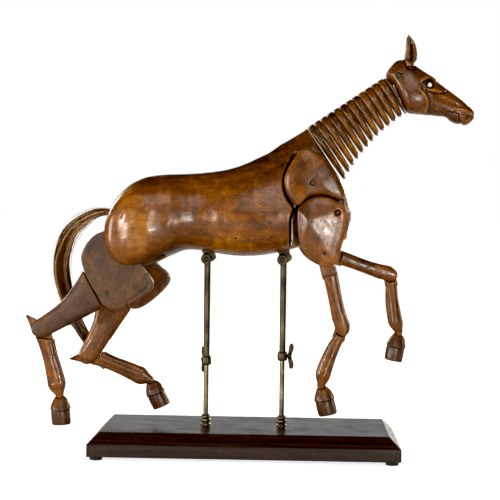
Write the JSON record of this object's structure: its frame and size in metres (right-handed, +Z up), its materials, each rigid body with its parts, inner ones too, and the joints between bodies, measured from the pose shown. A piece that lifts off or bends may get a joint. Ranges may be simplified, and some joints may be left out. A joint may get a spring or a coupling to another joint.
{
  "type": "wooden horse mannequin",
  "caption": "Jointed carved wooden horse mannequin with fanned neck discs, pinned limb plates and a hair tail, held on telescopic metal stems over a dark chamfered plinth.",
  "frame": {"origin": "on the floor under the middle of the overall box, within a few millimetres of the plinth's centre", "axes": "+X towards the horse's head, +Y towards its left side, +Z up"},
  "size_m": [0.4862, 0.15, 0.4596],
  "materials": {
    "polished_walnut": "waxed, warm orange-brown",
    "worn_walnut": "rubbed, flatter grey-brown",
    "dark_hoof_wood": "dark stained",
    "ebonised_wood": "ebonised, gloss",
    "aged_steel": "aged, dull bronze tone",
    "aged_brass": "aged",
    "tail_hair": "dark hair with paler strands",
    "pale_bead": "opaque pale bead",
    "felt_pad": "felt"
  },
  "bodies": {
    "stand": {"plinth": "ebonised_wood", "foot_rear_right": "felt_pad", "foot_rear_left": "felt_pad", "foot_front_right": "felt_pad", "foot_front_left": "felt_pad", "rear_socket": "aged_brass", "front_socket": "aged_brass", "rear_stem_rod": "aged_brass", "front_stem_rod": "aged_brass"},
    "lift": {"rear_stem_tube": "aged_steel", "rear_clamp_collar": "aged_steel", "rear_knuckle": "aged_steel"},
    "rear_screw": {"rear_wing_screw": "aged_steel"},
    "body": {"torso": "polished_walnut", "tail": "tail_hair", "hip_dowel": "worn_walnut", "blade_dowel": "worn_walnut", "rear_belly_lug": "aged_steel", "front_belly_lug": "aged_steel"},
    "front_stem": {"front_stem_tube": "aged_steel", "front_clamp_collar": "aged_steel", "front_knuckle": "aged_steel"},
    "front_screw": {"front_wing_screw": "aged_steel"},
    "disc_01": {"neck_disc_01": "polished_walnut"},
    "disc_02": {"neck_disc_02": "polished_walnut"},
    "disc_03": {"neck_disc_03": "polished_walnut"},
    "disc_04": {"neck_disc_04": "polished_walnut"},
    "disc_05": {"neck_disc_05": "polished_walnut"},
    "disc_06": {"neck_disc_06": "polished_walnut"},
    "disc_07": {"neck_disc_07": "polished_walnut"},
    "disc_08": {"neck_disc_08": "polished_walnut"},
    "disc_09": {"neck_disc_09": "polished_walnut"},
    "disc_10": {"neck_disc_10": "polished_walnut"},
    "disc_11": {"neck_disc_11": "polished_walnut"},
    "disc_12": {"neck_disc_12": "polished_walnut"},
    "neck_top": {"neck_top": "polished_walnut"},
    "head": {"head": "polished_walnut", "poll_pin": "worn_walnut", "right_eye": "pale_bead", "left_eye": "pale_bead"},
    "right_ear": {"right_ear": "polished_walnut"},
    "left_ear": {"left_ear": "polished_walnut"},
    "right_blade": {"right_shoulder_blade": "polished_walnut"},
    "right_arm": {"right_upper_arm": "polished_walnut"},
    "right_forearm": {"right_forearm": "polished_walnut"},
    "right_fore_cannon": {"right_fore_cannon": "polished_walnut"},
    "right_fore_hoof": {"right_fore_hoof": "dark_hoof_wood"},
    "right_thigh": {"right_thigh": "worn_walnut"},
    "right_gaskin": {"right_gaskin": "worn_walnut"},
    "right_hind_cannon": {"right_hind_cannon": "polished_walnut"},
    "right_hind_hoof": {"right_hind_hoof": "dark_hoof_wood"},
    "left_blade": {"left_shoulder_blade": "polished_walnut"},
    "left_arm": {"left_upper_arm": "polished_walnut"},
    "left_forearm": {"left_forearm": "polished_walnut"},
    "left_fore_cannon": {"left_fore_cannon": "polished_walnut"},
    "left_fore_hoof": {"left_fore_hoof": "dark_hoof_wood"},
    "left_thigh": {"left_thigh": "worn_walnut"},
    "left_gaskin": {"left_gaskin": "worn_walnut"},
    "left_hind_cannon": {"left_hind_cannon": "polished_walnut"},
    "left_hind_hoof": {"left_hind_hoof": "dark_hoof_wood"}
  },
  "joints": [
    {"name": "stand_lift", "type": "slide", "parent": "stand", "child": "lift", "axis": [0, 0, 1], "range_m": [-0.008, 0.06]},
    {"name": "body_tilt", "type": "hinge", "parent": "lift", "child": "body", "pos_m": [-0.0486, 0, 0.2125], "axis": [0, -1, 0], "range_deg": [-3.5, 3.5]},
    {"name": "front_knuckle_swing", "type": "hinge", "parent": "body", "child": "front_stem", "pos_m": [0.0352, 0, 0.2125], "axis": [0, -1, 0], "range_deg": [-3.5, 3.5]},
    {"name": "rear_wing_screw_turn", "type": "hinge", "parent": "lift", "child": "rear_screw", "pos_m": [-0.0472, 0, 0.1006], "axis": [-0.4384, 0.8988, 0], "range_deg": [-90, 90]},
    {"name": "front_wing_screw_turn", "type": "hinge", "parent": "front_stem", "child": "front_screw", "pos_m": [0.0366, 0, 0.1064], "axis": [1, 0, 0], "range_deg": [-90, 90]},
    {"name": "neck_bend_1", "type": "hinge", "parent": "body", "child": "disc_01", "pos_m": [0.0603, 0, 0.358], "axis": [0, -1, 0], "range_deg": [-1.2, 3]},
    {"name": "neck_turn_1", "type": "hinge", "parent": "disc_01", "child": "disc_02", "pos_m": [0.06713, 0, 0.36257], "axis": [-0.5655, 0, 0.8248], "range_deg": [-3.8, 3.8]},
    {"name": "neck_bend_2", "type": "hinge", "parent": "disc_02", "child": "disc_03", "pos_m": [0.07395, 0, 0.36713], "axis": [0, -1, 0], "range_deg": [-1.2, 3]},
    {"name": "neck_bend_3", "type": "hinge", "parent": "disc_03", "child": "disc_04", "pos_m": [0.08077, 0, 0.3717], "axis": [0, -1, 0], "range_deg": [-1.2, 3]},
    {"name": "neck_turn_2", "type": "hinge", "parent": "disc_04", "child": "disc_05", "pos_m": [0.0876, 0, 0.37627], "axis": [-0.5554, 0, 0.8316], "range_deg": [-3.8, 3.8]},
    {"name": "neck_bend_4", "type": "hinge", "parent": "disc_05", "child": "disc_06", "pos_m": [0.09442, 0, 0.38083], "axis": [0, -1, 0], "range_deg": [-1.2, 3]},
    {"name": "neck_bend_5", "type": "hinge", "parent": "disc_06", "child": "disc_07", "pos_m": [0.10125, 0, 0.3854], "axis": [0, -1, 0], "range_deg": [-1.2, 3]},
    {"name": "neck_turn_3", "type": "hinge", "parent": "disc_07", "child": "disc_08", "pos_m": [0.10808, 0, 0.38997], "axis": [-0.5416, 0, 0.8406], "range_deg": [-3.8, 3.8]},
    {"name": "neck_bend_6", "type": "hinge", "parent": "disc_08", "child": "disc_09", "pos_m": [0.1149, 0, 0.39453], "axis": [0, -1, 0], "range_deg": [-1.2, 3]},
    {"name": "neck_bend_7", "type": "hinge", "parent": "disc_09", "child": "disc_10", "pos_m": [0.12172, 0, 0.3991], "axis": [0, -1, 0], "range_deg": [-1.2, 3]},
    {"name": "neck_turn_4", "type": "hinge", "parent": "disc_10", "child": "disc_11", "pos_m": [0.12855, 0, 0.40367], "axis": [-0.5255, 0, 0.8508], "range_deg": [-3.8, 3.8]},
    {"name": "neck_bend_8", "type": "hinge", "parent": "disc_11", "child": "disc_12", "pos_m": [0.13537, 0, 0.40823], "axis": [0, -1, 0], "range_deg": [-1.2, 3]},
    {"name": "neck_bend_9", "type": "hinge", "parent": "disc_12", "child": "neck_top", "pos_m": [0.1422, 0, 0.4128], "axis": [0, -1, 0], "range_deg": [-1.2, 3]},
    {"name": "head_nod", "type": "hinge", "parent": "neck_top", "child": "head", "pos_m": [0.1586, 0, 0.4158], "axis": [0, -1, 0], "range_deg": [-1, 14]},
    {"name": "right_ear_turn", "type": "hinge", "parent": "head", "child": "right_ear", "pos_m": [0.171, -0.0095, 0.4246], "axis": [0, 0, 1], "range_deg": [-25, 25]},
    {"name": "left_ear_turn", "type": "hinge", "parent": "head", "child": "left_ear", "pos_m": [0.171, 0.0095, 0.4246], "axis": [0, 0, -1], "range_deg": [-25, 25]},
    {"name": "right_blade_swing", "type": "hinge", "parent": "body", "child": "right_blade", "pos_m": [0.0668, 0, 0.2971], "axis": [0, -1, 0], "range_deg": [-7, 14]},
    {"name": "right_shoulder_swing", "type": "hinge", "parent": "right_blade", "child": "right_arm", "pos_m": [0.0939, 0, 0.2653], "axis": [0, -1, 0], "range_deg": [0, 35]},
    {"name": "right_elbow_swing", "type": "hinge", "parent": "right_arm", "child": "right_forearm", "pos_m": [0.0804, -0.0364, 0.2212], "axis": [0, 1, 0], "range_deg": [-80, 34]},
    {"name": "right_knee_swing", "type": "hinge", "parent": "right_forearm", "child": "right_fore_cannon", "pos_m": [0.10093, -0.0364, 0.14181], "axis": [0, -1, 0], "range_deg": [-44, 46]},
    {"name": "right_fore_fetlock_swing", "type": "hinge", "parent": "right_fore_cannon", "child": "right_fore_hoof", "pos_m": [0.07892, -0.0364, 0.08033], "axis": [0, -1, 0], "range_deg": [-76, 27]},
    {"name": "right_hip_swing", "type": "hinge", "parent": "body", "child": "right_thigh", "pos_m": [-0.1246, 0, 0.26], "axis": [0, 1, 0], "range_deg": [-6, 9]},
    {"name": "right_stifle_swing", "type": "hinge", "parent": "right_thigh", "child": "right_gaskin", "pos_m": [-0.1529, -0.026, 0.1753], "axis": [0, -1, 0], "range_deg": [0, 11]},
    {"name": "right_hock_swing", "type": "hinge", "parent": "right_gaskin", "child": "right_hind_cannon", "pos_m": [-0.22533, -0.026, 0.13581], "axis": [0, 1, 0], "range_deg": [-27, 40]},
    {"name": "right_hind_fetlock_swing", "type": "hinge", "parent": "right_hind_cannon", "child": "right_hind_hoof", "pos_m": [-0.20558, -0.026, 0.06408], "axis": [0, -1, 0], "range_deg": [-30, 60]},
    {"name": "left_blade_swing", "type": "hinge", "parent": "body", "child": "left_blade", "pos_m": [0.0668, 0, 0.2971], "axis": [0, -1, 0], "range_deg": [-5, 14]},
    {"name": "left_shoulder_swing", "type": "hinge", "parent": "left_blade", "child": "left_arm", "pos_m": [0.0926, 0, 0.26424], "axis": [0, -1, 0], "range_deg": [0, 35]},
    {"name": "left_elbow_swing", "type": "hinge", "parent": "left_arm", "child": "left_forearm", "pos_m": [0.07734, 0.0364, 0.22071], "axis": [0, 1, 0], "range_deg": [-20, 94]},
    {"name": "left_knee_swing", "type": "hinge", "parent": "left_forearm", "child": "left_fore_cannon", "pos_m": [0.15576, 0.0364, 0.19674], "axis": [0, -1, 0], "range_deg": [-17, 76]},
    {"name": "left_fore_fetlock_swing", "type": "hinge", "parent": "left_fore_cannon", "child": "left_fore_hoof", "pos_m": [0.16676, 0.0364, 0.13237], "axis": [0, -1, 0], "range_deg": [-24, 82]},
    {"name": "left_hip_swing", "type": "hinge", "parent": "body", "child": "left_thigh", "pos_m": [-0.1246, 0, 0.26], "axis": [0, 1, 0], "range_deg": [-11, 20]},
    {"name": "left_stifle_swing", "type": "hinge", "parent": "left_thigh", "child": "left_gaskin", "pos_m": [-0.13699, 0.026, 0.17156], "axis": [0, -1, 0], "range_deg": [-18, 3]},
    {"name": "left_hock_swing", "type": "hinge", "parent": "left_gaskin", "child": "left_hind_cannon", "pos_m": [-0.1818, 0.026, 0.10229], "axis": [0, 1, 0], "range_deg": [-8, 7]},
    {"name": "left_hind_fetlock_swing", "type": "hinge", "parent": "left_hind_cannon", "child": "left_hind_hoof", "pos_m": [-0.11263, 0.026, 0.0749], "axis": [0, -1, 0], "range_deg": [-1.5, 91]}
  ],
  "couplings": [
    {"joint": "front_knuckle_swing", "follows": "body_tilt", "ratio": -1},
    {"joint": "neck_bend_2", "follows": "neck_bend_1", "ratio": 1},
    {"joint": "neck_bend_3", "follows": "neck_bend_1", "ratio": 1},
    {"joint": "neck_turn_2", "follows": "neck_turn_1", "ratio": 1},
    {"joint": "neck_bend_4", "follows": "neck_bend_1", "ratio": 1},
    {"joint": "neck_bend_5", "follows": "neck_bend_1", "ratio": 1},
    {"joint": "neck_turn_3", "follows": "neck_turn_1", "ratio": 1},
    {"joint": "neck_bend_6", "follows": "neck_bend_1", "ratio": 1},
    {"joint": "neck_bend_7", "follows": "neck_bend_1", "ratio": 1},
    {"joint": "neck_turn_4", "follows": "neck_turn_1", "ratio": 1},
    {"joint": "neck_bend_8", "follows": "neck_bend_1", "ratio": 1},
    {"joint": "neck_bend_9", "follows": "neck_bend_1", "ratio": 1}
  ]
}
